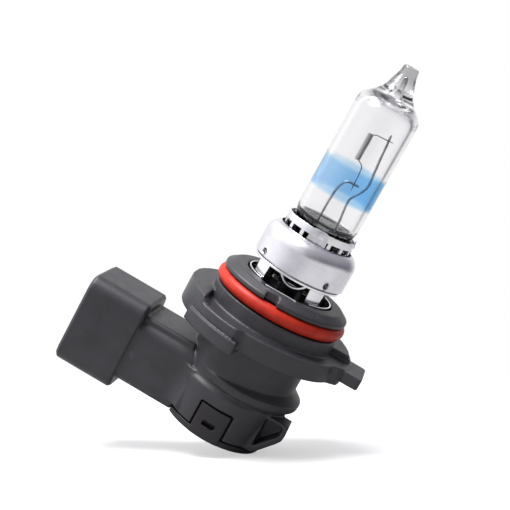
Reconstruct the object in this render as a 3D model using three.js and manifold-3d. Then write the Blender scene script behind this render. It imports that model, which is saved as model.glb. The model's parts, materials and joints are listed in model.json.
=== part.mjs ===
// Right-angle halogen headlamp bulb: quartz capsule, metal holder, moulded base with a
// side connector. Millimetres, +Z along the bulb axis towards the glass tip, -X towards
// the connector mouth, +X towards the key tab. The origin is on the bulb axis, level
// with the raised lugs' upper faces, which seat the bulb in a lamp.
import * as THREE from "three";
import { mergeVertices } from "three/addons/utils/BufferGeometryUtils.js";
import Module from "manifold-3d";

const wasm = await Module();
wasm.setup();

// ---- driving dimensions -------------------------------------------------------------
const CLEARANCE = 0.3;                 // gap left between pieces that touch
const ROUND = 48;                      // sides of a large round
const FINE = 32;                       // sides of a middling round

const GLASS = { radius: 5.72, wall: 0.9, straightTop: 40.0, tipTop: 48.5, tipRadius: 1.3,
  cavityBottom: 18.7, pinchBottom: 6.2, pinchWidth: 11.0, pinchDepth: 3.6 };
const COIL = { x: -0.53, radius: 0.42, wire: 0.11, bottom: 30.8, top: 35.6, turns: 11 };
const POST_RADIUS = 0.27;
const FOIL = { width: 2.0, thick: 0.2, bottom: 8.6, top: 15.4 };
const LEAD_X = { left: -1.9, right: 2.1 };
const PIN = { radius: 0.4, top: 8.3, bottom: -8.3 };

const CAN = { radius: 8.45, wall: 0.4, bottom: 9.4, top: 15.9, shoulder: 2.6, mouth: 6.75 };
const CARRIER = { radius: 7.4, wall: 0.5, lip: 0.75, bottom: 8.75, top: 12.8, legBottom: -1.5,
  legSpan: 22, legAngles: [43, 133, 222, 312] };
const CLIP = { plateZ: 13.3, thick: 0.4, floorZ: 16.7, cup: 6.1, cupWall: 0.25, top: 18.15,
  tongueLeft: -1.05, tongueRight: 2.1, tongueY: 5.9, postHalf: 0.6 };
const LOOP = { radius: 2.7, wire: 0.28, x: 0.4, y: -5.9, z: 9.85, from: 207, to: 333 };

const HUB = { radius: 11.8, top: 6.1, rim: 5.1, chamfer: 1.5, bore: 8.25 };
const GROOVE = { bottom: 1.65, top: 4.35, radius: 9.6 };
const ORING = { centre: 11.1, radius: 1.2, z: 3.0 };
const INSERT = { outer: 7.95, wall: 0.25, bottom: 2.2, top: 6.3, gapHalf: 4.6, gapZ: 4.0 };
const FLANGE = { top: -1.2, bottom: -4.5, lugTop: 0, waist: 14.6, lug: 15.8, chamfer: 0.6,
  leftHalf: 47, rampRun: 1.4 };
const HEEL = { radius: 16.2, top: -3.2, bottom: -5.6, from: 219, to: 262, groove: 0.4,
  grooveFloor: 15.3 };
const TAB = { from: 15.2, to: 18.9, half: 4.2, top: -1.35, bottom: -3.4 };
const DRUM = { radius: 9.85, waist: -13.6, body: 10.4, bodyTop: -14.4, bodyBottom: 9.6,
  bottom: -23.0 };
const FLARE = { x: 1.2, radius: 10.65, top: -10.2, crest: -11.8, low: -13.0, bottom: -13.9 };
const CHAMBER = { radius: 7.3, floor: -21.8 };
const COVER = { radius: 9.4, thick: 1.1, tongueHalf: 2.85, tongueTop: -16.9, tongueThick: 1.8 };
const NECK = { from: -19.6, to: -7.7, half: 6.5, bottom: -23.15, top: -10.9, radius: 2.6,
  plateTop: -10.25, plateEnd: -8.9, plateHalf: 5.4 };
const COLLAR = { mouth: -30.1, back: -18.8, half: 7.0, bottom: -25.2, top: -8.3, radius: 2.4,
  wall: 1.7, depth: 9.7, lip: 0.35 };
const BRACKET = { front: -6.75, back: -2.6, pocketDepth: 3.0 };
const BLADE = { tip: -28.3, thick: 0.8, width: 2.8, upper: -14.2, lower: -19.2 };
const WINDOW = { left: -1.25, right: 1.15, bottom: -20.6, top: -19.6 };

const DEG = Math.PI / 180;

// ---- solids -------------------------------------------------------------------------
function solid(geometry) {
  const bare = geometry.clone();
  for (const name of ["normal", "uv"]) bare.deleteAttribute(name);
  const merged = mergeVertices(bare, 1e-5);
  const vertProperties = new Float32Array(merged.attributes.position.array);
  const triVerts = new Uint32Array(merged.index.array);
  return new wasm.Manifold(new wasm.Mesh({ numProp: 3, vertProperties, triVerts }));
}

function geometryOf(manifold) {
  const mesh = manifold.getMesh();
  const geometry = new THREE.BufferGeometry();
  geometry.setAttribute("position", new THREE.BufferAttribute(mesh.vertProperties, 3));
  geometry.setIndex(new THREE.BufferAttribute(mesh.triVerts, 1));
  geometry.computeVertexNormals();
  return geometry;
}

// Revolves [radius, z] points about Z. The points run up the outside and, on a ring,
// back down the inside to close on the first one.
function turned(points, sides = FINE) {
  const profile = points.map(([radius, z]) => new THREE.Vector2(radius, z));
  return new THREE.LatheGeometry(profile, sides).rotateX(Math.PI / 2);
}

function ring(inner, outer, bottom, top, sides = FINE) {
  return turned([[inner, bottom], [outer, bottom], [outer, top], [inner, top], [inner, bottom]],
    sides);
}

function disc(radius, bottom, top, sides = FINE) {
  return turned([[0, bottom], [radius, bottom], [radius, top], [0, top]], sides);
}

function box(x0, x1, y0, y1, z0, z1) {
  const geometry = new THREE.BoxGeometry(x1 - x0, y1 - y0, z1 - z0);
  return geometry.translate((x0 + x1) / 2, (y0 + y1) / 2, (z0 + z1) / 2);
}

// Extrudes an outline of [x, y] points upwards from z = bottom to z = top.
function slab(points, bottom, top) {
  const shape = new THREE.Shape(points.map(([x, y]) => new THREE.Vector2(x, y)));
  const depth = top - bottom;
  return new THREE.ExtrudeGeometry(shape, { depth, bevelEnabled: false }).translate(0, 0, bottom);
}

// Extrudes an outline of [x, z] points along Y.
function plate(points, y0, y1) {
  return slab(points.map(([x, z]) => [x, z]), -y1, -y0).rotateX(Math.PI / 2);
}

// A rounded rectangle in the YZ plane, extruded along X.
function roundedBar(x0, x1, half, bottom, top, radius) {
  const steps = 6;
  const corners = [[half, bottom, -90], [half, top, 0], [-half, top, 90], [-half, bottom, 180]];
  const points = corners.flatMap(([y, z, start]) => {
    const cy = y - Math.sign(y) * radius;
    const cz = z === top ? z - radius : z + radius;
    return Array.from({ length: steps + 1 }, (_, i) => {
      const angle = (start + (90 * i) / steps) * DEG;
      return [cy + radius * Math.cos(angle), cz + radius * Math.sin(angle)];
    });
  });
  const bar = slab(points, x0, x1);
  return bar.applyMatrix4(new THREE.Matrix4().set(
    0, 0, 1, 0, 1, 0, 0, 0, 0, 1, 0, 0, 0, 0, 0, 1));
}

function arcPoints(radius, fromDeg, toDeg, step = 4) {
  const count = Math.max(1, Math.round(Math.abs(toDeg - fromDeg) / step));
  return Array.from({ length: count + 1 }, (_, i) => {
    const angle = (fromDeg + ((toDeg - fromDeg) * i) / count) * DEG;
    return [radius * Math.cos(angle), radius * Math.sin(angle)];
  });
}

function sector(inner, outer, fromDeg, toDeg, bottom, top) {
  const outline = [...arcPoints(outer, fromDeg, toDeg), ...arcPoints(inner, toDeg, fromDeg)];
  return slab(outline, bottom, top);
}

function wire(points, radius, sides = 8, steps = 24) {
  const at = points.map(([x, y, z]) => new THREE.Vector3(x, y, z));
  const path = new THREE.CatmullRomCurve3(at, false, "centripetal");
  const section = new THREE.Shape();
  for (let i = 0; i < sides; i += 1) {
    const angle = (2 * Math.PI * i) / sides;
    const place = [radius * Math.cos(angle), radius * Math.sin(angle)];
    if (i === 0) section.moveTo(...place);
    else section.lineTo(...place);
  }
  return new THREE.ExtrudeGeometry(section, { steps, extrudePath: path, bevelEnabled: false });
}

function union(...parts) {
  return parts.slice(1).reduce((sum, part) => sum.add(solid(part)), solid(parts[0]));
}

function cut(body, ...tools) {
  return tools.reduce((rest, tool) => rest.subtract(solid(tool)), body);
}

// ---- materials ----------------------------------------------------------------------
const LOOKS = {
  glass: { color: 0xe8ecf0, roughness: 0.05, metalness: 0, transparent: true, opacity: 0.35 },
  tungsten: { color: 0x55565c, roughness: 0.45, metalness: 1 },
  satinSteel: { color: 0xd2d0d6, roughness: 0.3, metalness: 1 },
  brass: { color: 0xc9a45c, roughness: 0.35, metalness: 1 },
  charcoal: { color: 0x3c3b41, roughness: 0.6, metalness: 0 },
  redRubber: { color: 0xd0272b, roughness: 0.45, metalness: 0 },
};

function piece(name, shape, look) {
  const geometry = shape.isBufferGeometry ? shape : geometryOf(shape);
  const mesh = new THREE.Mesh(geometry, new THREE.MeshStandardMaterial(LOOKS[look]));
  mesh.name = name;
  return mesh;
}

// ---- capsule ------------------------------------------------------------------------
function glassEnvelope() {
  const r = GLASS.radius;
  const inner = r - GLASS.wall;
  const outside = turned([
    [0, GLASS.cavityBottom - 1.2], [r - 1.1, GLASS.cavityBottom - 1.2],
    [r - 0.25, GLASS.cavityBottom - 0.4], [r, GLASS.cavityBottom + 0.8], [r, GLASS.straightTop],
    [5.6, 40.8], [5.3, 41.35], [4.85, 41.8], [4.2, 42.3], [3.7, 42.7], [3.3, 43.2], [2.75, 43.8],
    [2.4, 44.6], [2.2, 45.3], [1.75, 46.5], [1.5, 47.4], [GLASS.tipRadius + 0.1, 48.1],
    [GLASS.tipRadius, GLASS.tipTop], [0, GLASS.tipTop],
  ], ROUND);
  const hollow = turned([
    [0, GLASS.cavityBottom], [inner - 0.6, GLASS.cavityBottom], [inner, GLASS.cavityBottom + 0.9],
    [inner, GLASS.straightTop - 0.6], [4.65, 40.2], [4.3, 40.8], [3.6, 41.3], [2.4, 41.8],
    [1.1, 42.0], [0, 42.0],
  ], FINE);
  const halfWidth = GLASS.pinchWidth / 2;
  const halfDepth = GLASS.pinchDepth / 2;
  const pinch = box(-halfWidth, halfWidth, -halfDepth, halfDepth, GLASS.pinchBottom,
    GLASS.cavityBottom - 0.5);
  const slots = Object.values(LEAD_X).map((x) => box(x - 1.25, x + 1.25, -0.5, 0.5,
    GLASS.pinchBottom - 1, GLASS.cavityBottom + 0.5));
  return cut(union(outside, pinch), hollow, ...slots);
}

function filamentCoil() {
  const perTurn = 9;
  const count = COIL.turns * perTurn;
  const coil = Array.from({ length: count + 1 }, (_, i) => {
    const angle = (2 * Math.PI * i) / perTurn;
    const z = COIL.bottom + ((COIL.top - COIL.bottom) * i) / count;
    return [COIL.x + COIL.radius * Math.cos(angle), COIL.radius * Math.sin(angle), z];
  });
  const lower = [[1.1, -0.5, 25.7], [1.05, -0.5, 28.2], [0.85, -0.4, 29.9], [0.4, -0.1, 30.5]];
  const upper = [[0.5, -0.2, 35.9], [1.6, -0.55, 35.9], [3.5, -0.55, 36.0]];
  const points = [...lower, ...coil, ...upper];
  return wire(points, COIL.wire, 5, Math.round(points.length * 1.3));
}

function longPost() {
  return wire([[2.1, 0, 15.8], [2.1, 0, 19.1], [1.8, 0, 21.7], [1.65, 0, 23.3], [1.75, 0, 24.4],
    [3.0, 0, 26.5], [3.35, 0, 27.7], [3.3, 0, 28.7], [2.9, 0, 32.4], [2.5, 0, 37.1]],
  POST_RADIUS, 8, 40);
}

function shortPost() {
  return wire([[-1.45, 0, 15.8], [-1.35, 0, 19.1], [-1.3, 0, 22.4], [-1.1, 0, 24.8],
    [-0.6, 0, 26.2], [0.2, 0, 26.8], [2.0, 0, 26.85]], POST_RADIUS, 8, 30);
}

function foil(x) {
  const half = FOIL.width / 2;
  return box(x - half, x + half, -FOIL.thick / 2, FOIL.thick / 2, FOIL.bottom, FOIL.top);
}

function leadPin(x) {
  return disc(PIN.radius, PIN.bottom, PIN.top, 12).translate(x, 0, 0);
}

// ---- metal holder -------------------------------------------------------------------
// A drawn cup, open below, whose shoulder turns in towards its mouth.
function focusCan() {
  const { radius, wall, bottom, top, shoulder, mouth } = CAN;
  const centre = radius - shoulder;
  const outerTurn = Math.acos((mouth - centre) / shoulder);
  const innerTurn = Math.acos((mouth - centre) / (shoulder - wall));
  const bend = (reach, turn) => Array.from({ length: 7 }, (_, i) => {
    const angle = (turn * i) / 6;
    return [centre + reach * Math.cos(angle), top - shoulder + reach * Math.sin(angle)];
  });
  return turned([[radius - wall, bottom], [radius, bottom], ...bend(shoulder, outerTurn),
    ...bend(shoulder - wall, innerTurn).reverse(), [radius - wall, bottom]], ROUND);
}

function carrierRing() {
  const { radius, wall, lip: reach, bottom, top, legBottom, legSpan, legAngles } = CARRIER;
  const sleeve = ring(radius - wall, radius, bottom, top, ROUND);
  const lip = ring(radius - wall, radius + reach, bottom, bottom + 0.35, ROUND);
  const legs = legAngles.map((angle) => sector(radius - wall, radius, angle - legSpan / 2,
    angle + legSpan / 2, legBottom, bottom + 0.2));
  return union(sleeve, lip, ...legs);
}

// The plate across the carrier and, on four uprights, the cup round the capsule's foot.
// Both have a slot for the pinch.
function capsuleClip() {
  const { plateZ, thick, floorZ, cup, cupWall, top, tongueLeft, tongueRight, tongueY,
    postHalf } = CLIP;
  const reach = CARRIER.radius - CARRIER.wall - CLEARANCE;
  const halfWidth = GLASS.pinchWidth / 2 + CLEARANCE;
  const halfDepth = GLASS.pinchDepth / 2 + CLEARANCE;
  const levels = [disc(reach, plateZ, plateZ + thick), disc(cup + 0.1, floorZ, floorZ + thick),
    ring(cup, cup + cupWall, floorZ, top, ROUND)];
  const slotted = cut(union(...levels), box(-halfWidth, halfWidth, -halfDepth, halfDepth,
    plateZ - 1, top));
  const tongues = [-tongueY - thick + 0.1, tongueY].map((y) => box(tongueLeft, tongueRight,
    y, y + thick - 0.1, plateZ + 0.1, top));
  const posts = [-cup - cupWall + 0.05, cup - 0.1].map((x) => box(x, x + 0.3,
    -postHalf, postHalf, plateZ + 0.1, floorZ + 0.1));
  return [...tongues, ...posts].reduce((sum, part) => sum.add(solid(part)), slotted);
}

function retainingLoop() {
  const { radius, wire: thickness, x, y, z, from, to } = LOOP;
  const points = Array.from({ length: 13 }, (_, i) => {
    const angle = (from + ((to - from) * i) / 12) * DEG;
    return [x + radius * Math.cos(angle), y, z + radius * Math.sin(angle)];
  });
  return wire(points, thickness, 8, 24);
}

// A sleeve in the bore, lower at the front.
function insertRing() {
  const { outer, wall, bottom, top, gapHalf, gapZ } = INSERT;
  return cut(solid(ring(outer - wall, outer, bottom, top, ROUND)),
    box(-gapHalf, gapHalf, -outer - 1, 0, gapZ, top + 1));
}

// ---- moulded base -------------------------------------------------------------------
function hub() {
  const { radius, top, rim, chamfer } = HUB;
  return turned([[0, FLANGE.bottom - 0.2], [radius, FLANGE.bottom - 0.2], [radius, GROOVE.bottom],
    [GROOVE.radius, GROOVE.bottom], [GROOVE.radius, GROOVE.top], [radius, GROOVE.top],
    [radius, rim], [radius - chamfer, top], [0, top]], ROUND);
}

function flangePlate() {
  const { lug, waist, bottom, top } = FLANGE;
  const outline = [...arcPoints(lug, -14, 60), ...arcPoints(waist, 64, 129),
    ...arcPoints(lug, 133, 258), ...arcPoints(waist, 262, 338)];
  return slab(outline, bottom, top);
}

// The left lug ends on a chord, with a small ramp at its front end. The right one is a
// sector with a stepped rim.
function lugs() {
  const { lug, lugTop, top, chamfer, leftHalf, rampRun } = FLANGE;
  const inner = HUB.radius - 0.6;
  const low = top - 0.1;
  const left = slab(arcPoints(lug, 180 - leftHalf, 180 + leftHalf), low, lugTop);
  const chord = -lug * Math.cos(leftHalf * DEG);
  const ramp = plate([[chord - 0.1, low], [chord + rampRun, low], [chord - 0.1, lugTop - 0.3]],
    -11.5, -9.5);
  return [left, ramp, sector(inner, lug, 4, 60, low, lugTop - chamfer),
    sector(inner, lug - chamfer, 4, 60, low, lugTop)];
}

// The tapered side below the flare, down to the level of the cover's underside.
function drumSide() {
  const { body, bodyTop, bodyBottom, bottom } = DRUM;
  return turned([[0, bottom], [bodyBottom, bottom], [body, bodyTop - 1], [body, bodyTop],
    [0, bodyTop]], ROUND);
}

function drum() {
  const { radius, waist, body, bodyTop, bodyBottom, bottom } = DRUM;
  const rim = bottom + COVER.thick + CLEARANCE;
  return turned([[0, rim], [bodyBottom, rim], [body, bodyTop - 1], [body, bodyTop],
    [radius, waist], [radius, FLANGE.bottom + 0.1], [0, FLANGE.bottom + 0.1]], ROUND);
}

// The flare stands out most on the side away from the connector.
function flare() {
  const { x, radius, top, crest, low, bottom } = FLARE;
  return turned([[0, bottom], [radius - 1.05, bottom], [radius - 0.1, low], [radius, crest],
    [radius - 2, top], [0, top]], ROUND).translate(x, 0, 0);
}

function bracketOutline() {
  return [[5, -21.6], [8.6, -21.6], [11.4, -18.2], [12.1, -17.1], [12.2, -16.1], [12.1, -14.2],
    [5, -14.2]];
}

function pocketOutline() {
  return [[8.0, -20.5], [11.3, -16.6], [11.3, -14.9], [8.0, -14.9]];
}

function neck() {
  const { from, to, half, bottom, top, radius, plateTop, plateEnd, plateHalf } = NECK;
  return [roundedBar(from, to, half, bottom, top, radius),
    roundedBar(from, plateEnd, plateHalf, top - 2.5, plateTop, 0.7)];
}

function collar() {
  const { mouth, back, half, bottom, top, radius, lip } = COLLAR;
  return [roundedBar(mouth + lip, back - lip, half, bottom, top, radius),
    roundedBar(mouth, back, half - lip, bottom + lip, top - lip, radius - lip)];
}

function socket() {
  const { mouth, half, bottom, top, radius, wall, depth } = COLLAR;
  return roundedBar(mouth - 1, mouth + depth, half - wall, bottom + wall, top - wall,
    radius - 1);
}

function conductorPassages() {
  const gap = CLEARANCE;
  return [BLADE.upper, BLADE.lower].map((z) => box(COLLAR.mouth + COLLAR.depth - 1, 0,
    -BLADE.thick / 2 - gap, BLADE.thick / 2 + gap, z - BLADE.width / 2 - gap,
    z + BLADE.width / 2 + gap));
}

function coverRecess() {
  const half = COVER.tongueHalf + CLEARANCE;
  const depth = COVER.tongueThick + CLEARANCE;
  return box(-half, half, -DRUM.body - 1, -DRUM.body + depth, DRUM.bottom - 1,
    COVER.tongueTop + CLEARANCE);
}

function baseHousing() {
  const heel = sector(HUB.radius, HEEL.radius, HEEL.from, HEEL.to, HEEL.bottom, HEEL.top);
  const heelWeb = sector(DRUM.radius - 1, HEEL.radius - 0.8, HEEL.from, HEEL.to,
    HEEL.bottom, FLANGE.bottom + 0.2);
  const tab = box(TAB.from, TAB.to, -TAB.half, TAB.half, TAB.bottom, TAB.top);
  const bracket = plate(bracketOutline(), BRACKET.front, BRACKET.back);
  const outside = union(hub(), flangePlate(), ...lugs(), heel, heelWeb, tab, drum(), flare(),
    bracket, ...neck(), ...collar());
  const pocket = plate(pocketOutline(), BRACKET.front - 1, BRACKET.front + BRACKET.pocketDepth);
  const bore = disc(HUB.bore, INSERT.bottom - CLEARANCE, HUB.top + 1, ROUND);
  const throat = disc(CARRIER.radius + CLEARANCE, CARRIER.legBottom - 1, HUB.top, FINE);
  const chamber = disc(CHAMBER.radius, DRUM.bottom - 1, 0, FINE);
  const heelGroove = sector(HEEL.grooveFloor, HEEL.radius + 1, HEEL.from, HEEL.to, HEEL.top,
    HEEL.top + HEEL.groove);
  const rimNotch = box(-2.2, 0.1, -HUB.radius - 1, -HUB.radius + 1.2, GROOVE.top - 0.1, HUB.top);
  return cut(outside, bore, throat, chamber, socket(), ...conductorPassages(), coverRecess(),
    rimNotch, heelGroove, pocket);
}

// ---- loose pieces of the base -------------------------------------------------------
function oRing() {
  const section = Array.from({ length: 13 }, (_, i) => {
    const angle = (2 * Math.PI * i) / 12;
    return [ORING.centre + ORING.radius * Math.cos(angle),
      ORING.z + ORING.radius * Math.sin(angle)];
  });
  section[12] = section[0];
  return turned(section, ROUND);
}

// The disc under the drum, cut back where the neck passes, with a plug that closes the
// chamber and a latch tongue up the drum's front.
function bottomCover() {
  const { radius, thick, tongueHalf, tongueTop, tongueThick } = COVER;
  const { from, to, half, top, bottom } = NECK;
  const floor = DRUM.bottom;
  const front = -DRUM.body;
  const plug = CHAMBER.radius - CLEARANCE;
  const disk = cut(solid(disc(radius, floor, floor + thick, ROUND)),
    box(from, to + CLEARANCE, -half - CLEARANCE, half + CLEARANCE, bottom - 1, top));
  const tongue = solid(box(-tongueHalf, tongueHalf, front, front + tongueThick, floor + 0.1,
    tongueTop)).intersect(solid(drumSide()));
  const window = box(WINDOW.left, WINDOW.right, front - 1, front + 3, WINDOW.bottom, WINDOW.top);
  const body = [disc(plug, floor, floor + thick, FINE),
    ring(plug - 1.2, plug, floor + thick - 0.1, CHAMBER.floor + 0.8, FINE)]
    .reduce((sum, part) => sum.add(solid(part)), disk);
  return cut(body.add(tongue), window);
}

// A stamped strip: the blade in the socket, a run along the neck, and an upright end
// under its lead pin.
function terminal(level, leadX) {
  const low = level - BLADE.width / 2;
  const high = level + BLADE.width / 2;
  const rise = PIN.bottom - CLEARANCE;
  const half = 1.1;
  const outline = [[BLADE.tip + 0.7, low], [leadX + half, low], [leadX + half, rise],
    [leadX - half, rise], [leadX - half, high], [BLADE.tip + 0.7, high],
    [BLADE.tip, high - 0.7], [BLADE.tip, low + 0.7]];
  return plate(outline, -BLADE.thick / 2, BLADE.thick / 2);
}

// ---- the bulb -----------------------------------------------------------------------
const bulb = new THREE.Group();
bulb.add(
  piece("glass_envelope", glassEnvelope(), "glass"),
  piece("filament_coil", filamentCoil(), "tungsten"),
  piece("long_support_post", longPost(), "tungsten"),
  piece("short_support_post", shortPost(), "tungsten"),
  piece("pinch_foil_left", foil(LEAD_X.left), "tungsten"),
  piece("pinch_foil_right", foil(LEAD_X.right), "tungsten"),
  piece("lead_pin_left", leadPin(LEAD_X.left), "tungsten"),
  piece("lead_pin_right", leadPin(LEAD_X.right), "tungsten"),
  piece("capsule_clip", capsuleClip(), "satinSteel"),
  piece("focus_can", focusCan(), "satinSteel"),
  piece("carrier_ring", carrierRing(), "satinSteel"),
  piece("retaining_loop", retainingLoop(), "satinSteel"),
  piece("insert_ring", insertRing(), "satinSteel"),
  piece("base_housing", baseHousing(), "charcoal"),
  piece("o_ring", oRing(), "redRubber"),
  piece("bottom_cover", bottomCover(), "charcoal"),
  piece("terminal_upper", terminal(BLADE.upper, LEAD_X.left), "brass"),
  piece("terminal_lower", terminal(BLADE.lower, LEAD_X.right), "brass"),
);

export default bulb;
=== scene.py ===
"""Looks for the right-angle halogen headlamp bulb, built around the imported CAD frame."""
import json
import math

import bmesh
import bpy
from mathutils import Matrix, Vector

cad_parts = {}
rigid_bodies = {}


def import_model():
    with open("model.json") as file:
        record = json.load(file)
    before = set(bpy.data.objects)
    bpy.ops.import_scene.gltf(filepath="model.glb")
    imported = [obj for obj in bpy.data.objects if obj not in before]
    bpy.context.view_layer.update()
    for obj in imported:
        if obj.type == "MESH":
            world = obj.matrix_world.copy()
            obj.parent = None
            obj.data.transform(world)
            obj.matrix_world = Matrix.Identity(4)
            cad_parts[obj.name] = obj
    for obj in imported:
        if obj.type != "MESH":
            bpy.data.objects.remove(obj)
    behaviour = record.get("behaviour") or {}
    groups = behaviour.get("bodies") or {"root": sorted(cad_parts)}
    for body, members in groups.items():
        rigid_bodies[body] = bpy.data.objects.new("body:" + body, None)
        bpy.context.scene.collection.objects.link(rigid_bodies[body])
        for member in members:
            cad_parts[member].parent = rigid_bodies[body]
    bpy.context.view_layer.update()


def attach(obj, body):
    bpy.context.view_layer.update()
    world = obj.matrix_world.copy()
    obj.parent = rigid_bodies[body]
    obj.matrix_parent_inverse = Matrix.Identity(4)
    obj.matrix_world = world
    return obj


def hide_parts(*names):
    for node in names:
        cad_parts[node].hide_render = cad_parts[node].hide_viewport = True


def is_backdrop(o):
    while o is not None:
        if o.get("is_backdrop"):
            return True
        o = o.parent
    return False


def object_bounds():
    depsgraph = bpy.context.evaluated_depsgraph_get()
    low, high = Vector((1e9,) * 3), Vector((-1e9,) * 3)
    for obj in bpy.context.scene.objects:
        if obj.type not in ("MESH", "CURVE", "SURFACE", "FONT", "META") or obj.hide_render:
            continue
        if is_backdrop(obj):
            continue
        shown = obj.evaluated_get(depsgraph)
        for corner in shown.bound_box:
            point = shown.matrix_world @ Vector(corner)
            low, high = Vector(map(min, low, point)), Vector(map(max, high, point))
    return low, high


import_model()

MM = 0.001
ROOT = "root"

# ---- camera, in degrees and millimetres
VIEW_AZIMUTH = 5.0
VIEW_ELEVATION = 12.3
VIEW_ROLL = 28.8
VIEW_TARGET = Vector((-7.9, 0.0, 7.6)) * MM
VIEW_DISTANCE = 190.0 * MM
VIEW_LENS = 77.0
SENSOR = 36.0

# ---- the studio, as grey levels from left to right and from below to above
STUDIO_SIDES = [(0.0, (1.4, 1.4, 1.42)), (0.3, (1.0, 1.0, 1.02)), (0.55, (0.42, 0.42, 0.44)),
                (0.8, (0.34, 0.34, 0.37)), (1.0, (0.36, 0.36, 0.4))]
STUDIO_LEVELS = [(0.0, (0.3, 0.3, 0.31)), (0.4, (0.5, 0.5, 0.52)), (0.75, (1.05, 1.05, 1.06)),
                 (1.0, (1.5, 1.5, 1.52))]
PAPER_GLOW = 0.34
PANEL_EDGES = (0.55, 0.92)
FLOOR_GAP = 0.02
FLOOR_FADE = (60.0, 150.0)
FLOOR_VEIL = 0.5
KEY = {"place": (-120, 470, 120), "side": 300, "power": 5.2}

# ---- the bulb, in millimetres from the row's origin
GLASS = {"radius": 5.72, "wall": 0.9, "foot": 17.5, "cavity": 18.7, "straight": 40.0,
         "pinch_bottom": 6.2, "pinch_width": 11.0, "pinch_depth": 3.6, "painted_shade_foot": (18.75, 18.95),
         "flamed": (40.0, 42.0), "painted_grey_tip": (43.6, 46.0)}
BAND = {"radius": 5.77, "thick": 0.03, "bottom": 23.7, "top": 29.8}
COIL = {"x": -0.53, "radius": 0.45, "wire": 0.085, "bottom": 30.7, "top": 35.7, "turns": 15}
POST = 0.22
FOIL = {"width": 2.0, "thick": 0.12, "bottom": 8.6, "top": 15.4}
LEADS = {"left": -1.9, "right": 2.1}
PIN = {"radius": 0.4, "bottom": -8.3, "top": 8.3}
CAN = {"radius": 8.45, "wall": 0.4, "bottom": 9.4, "top": 15.9, "shoulder": 2.6, "mouth": 6.75}
WELDS = {"angles": (42, 132, 222, 311.5), "level": 10.3, "depth": 0.45, "size": 0.8}
CARRIER = {"radius": 7.4, "wall": 0.5, "lip": 0.75, "bottom": 8.75, "top": 12.8,
           "leg_bottom": -1.5, "leg_top_half": 13.0, "leg_foot_half": 7.5,
           "leg_angles": (43, 133, 222, 312)}
CLIP = {"plate": 13.3, "thick": 0.4, "reach": 6.6, "floor": 16.7, "cup": 6.1, "cup_wall": 0.25,
        "top": 18.0, "tongue": (-1.05, 2.1), "tongue_y": 5.9, "dark": 5.95,
        "posts": range(8, 368, 24), "post_half": 3.0, "spur_y": (-0.7, 0.5),
        "spur": [(6.1, 17.2), (6.5, 17.3), (6.3, 18.5), (6.1, 18.5)]}
LOOP = {"radius": 2.7, "wire": 0.34, "x": 0.4, "y": -5.9, "z": 9.85, "from": 207, "to": 333}
HUB = {"radius": 11.8, "top": 6.1, "rim": 5.1, "chamfer": 1.5, "bore": 8.25, "notch": (-2.2, 0.1)}
GROOVE = {"bottom": 1.65, "top": 4.35, "radius": 9.6}
ORING = {"centre": 11.1, "radius": 1.2, "z": 3.0}
INSERT = {"outer": 7.95, "wall": 0.25, "bottom": 2.2, "top": 6.3, "gap_half": 4.6, "gap": 4.0}
INLAY = {"x": (-3.2, 2.55), "y": (-9.44, -9.24), "z": (5.0, 6.34)}
FLANGE = {"top": -1.2, "bottom": -4.5, "lug_top": 0.0, "waist": 14.6, "lug": 15.8,
          "chamfer": 0.6, "left_half": 47, "ramp": 1.4, "ramp_y": (-11.5, -9.5),
          "right_lug": (4, 60), "lug_spans": [(-14, 60), (133, 258)],
          "waist_spans": [(64, 129), (262, 338)]}
HEEL = {"radius": 16.2, "top": -3.2, "bottom": -5.6, "from": 219, "to": 262, "groove": 0.4,
        "groove_floor": 15.3}
TAB = {"from": 15.2, "to": 18.9, "half": 4.2, "top": -1.35, "bottom": -3.4}
DRUM = {"radius": 9.85, "neck_in": -13.6, "body": 10.4, "body_top": -14.4, "foot": 9.6,
        "bottom": -23.0}
FLARE = {"x": 1.2, "radius": 10.65, "start": -10.2, "crest": -11.8, "low": -13.0, "end": -13.9,
         "undercut": 1.05}
CHAMBER = {"radius": 7.3, "floor": -21.8}
COVER = {"radius": 9.4, "thick": 1.1, "half": 2.85, "top": -16.9, "tongue": 1.8}
SLOT = {"x": (-1.25, 1.15), "z": (-20.6, -19.6), "depth": 2.5}
NECK = {"from": -19.6, "to": -7.7, "half": 6.5, "bottom": -23.15, "top": -10.9, "round": 2.6,
        "plate_top": -10.25, "plate_end": -8.9, "plate_half": 5.4}
COLLAR = {"mouth": -30.1, "back": -18.8, "half": 7.0, "bottom": -25.2, "top": -8.3,
          "round": 2.4, "wall": 1.7, "depth": 9.7, "lip": 0.35}
BRACKET = {"front": -6.75, "back": -2.6, "pocket": 3.0,
           "outline": [(5, -21.6), (8.6, -21.6), (11.4, -18.2), (12.1, -17.1), (12.2, -16.1),
                       (12.1, -14.2), (5, -14.2)],
           "opening": [(8.0, -20.5), (11.3, -16.6), (11.3, -14.9), (8.0, -14.9)]}
BLADE = {"tip": -28.3, "thick": 0.8, "width": 2.8, "levels": (-14.2, -19.2)}
GAP = 0.3
VOXEL = {"housing": 0.17, "cover": 0.12}


def view_axes():
    """Right, up and back vectors of the picture, roll included."""
    az, el, roll = (math.radians(a) for a in (VIEW_AZIMUTH, VIEW_ELEVATION, VIEW_ROLL))
    back = Vector((math.sin(az) * math.cos(el), -math.cos(az) * math.cos(el), math.sin(el)))
    level = Vector((math.cos(az), math.sin(az), 0.0))
    upright = back.cross(level)
    right = math.cos(roll) * level + math.sin(roll) * upright
    up = -math.sin(roll) * level + math.cos(roll) * upright
    return right, up, back


RIGHT, UP, BACK = view_axes()


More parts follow.
